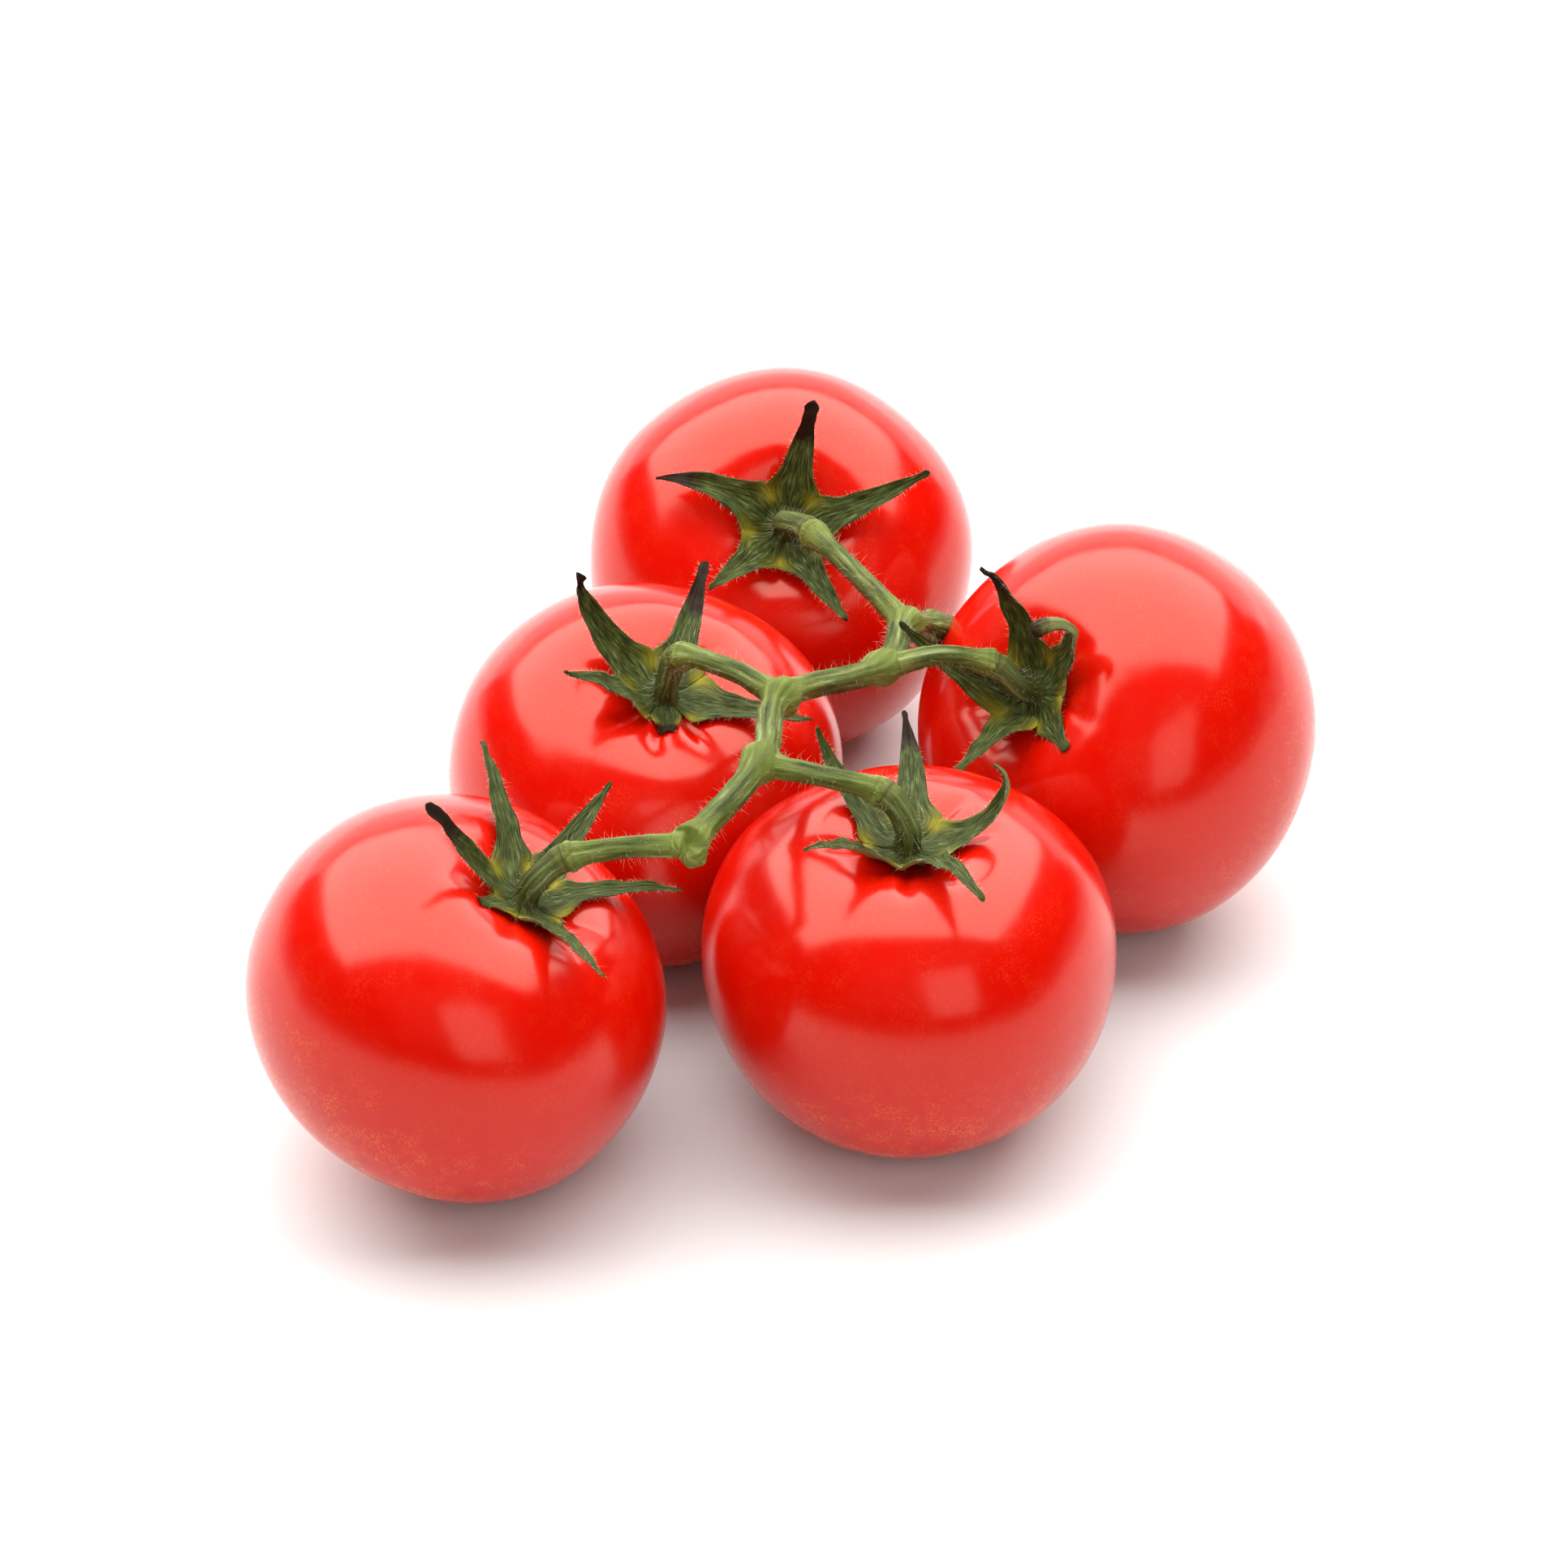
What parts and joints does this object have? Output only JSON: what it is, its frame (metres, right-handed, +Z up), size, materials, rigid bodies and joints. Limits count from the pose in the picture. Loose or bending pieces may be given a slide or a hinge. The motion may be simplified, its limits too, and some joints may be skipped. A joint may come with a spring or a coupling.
{
  "type": "tomato truss",
  "caption": "Ripe round tomatoes joined by a cut green truss stem, each with a knuckled stalk and a star of curling sepals, at rest on a flat surface.",
  "frame": {"origin": "on the floor, below the middle of the truss's bounding box", "axes": "+Z up from the floor the fruits rest on, +Y from the two front fruits towards the back fruit, +X towards the right fruit"},
  "size_m": [0.1756, 0.1926, 0.0754],
  "materials": {
    "tomato_skin": "gloss",
    "truss_stem_green": "matte",
    "stalk_green": "matte",
    "sepal_green": "matte"
  },
  "bodies": {
    "root": {"fruit_back": "tomato_skin", "fruit_front_left": "tomato_skin", "fruit_front_right": "tomato_skin", "fruit_middle_left": "tomato_skin", "fruit_right": "tomato_skin", "sepal_back_1": "sepal_green", "sepal_back_2": "sepal_green", "sepal_back_3": "sepal_green", "sepal_back_4": "sepal_green", "sepal_back_5": "sepal_green", "sepal_front_left_1": "sepal_green", "sepal_front_left_2": "sepal_green", "sepal_front_left_3": "sepal_green", "sepal_front_left_4": "sepal_green", "sepal_front_left_5": "sepal_green", "sepal_front_left_6": "sepal_green", "sepal_front_right_1": "sepal_green", "sepal_front_right_2": "sepal_green", "sepal_front_right_3": "sepal_green", "sepal_front_right_4": "sepal_green", "sepal_front_right_5": "sepal_green", "sepal_middle_left_1": "sepal_green", "sepal_middle_left_2": "sepal_green", "sepal_middle_left_3": "sepal_green", "sepal_middle_left_4": "sepal_green", "sepal_middle_left_5": "sepal_green", "sepal_right_1": "sepal_green", "sepal_right_2": "sepal_green", "sepal_right_3": "sepal_green", "sepal_right_4": "sepal_green", "sepal_right_5": "sepal_green", "truss_stem": "truss_stem_green", "upper_stalk_back": "stalk_green", "upper_stalk_front_left": "stalk_green", "upper_stalk_front_right": "stalk_green", "upper_stalk_middle_left": "stalk_green", "upper_stalk_right": "stalk_green"}
  },
  "joints": []
}
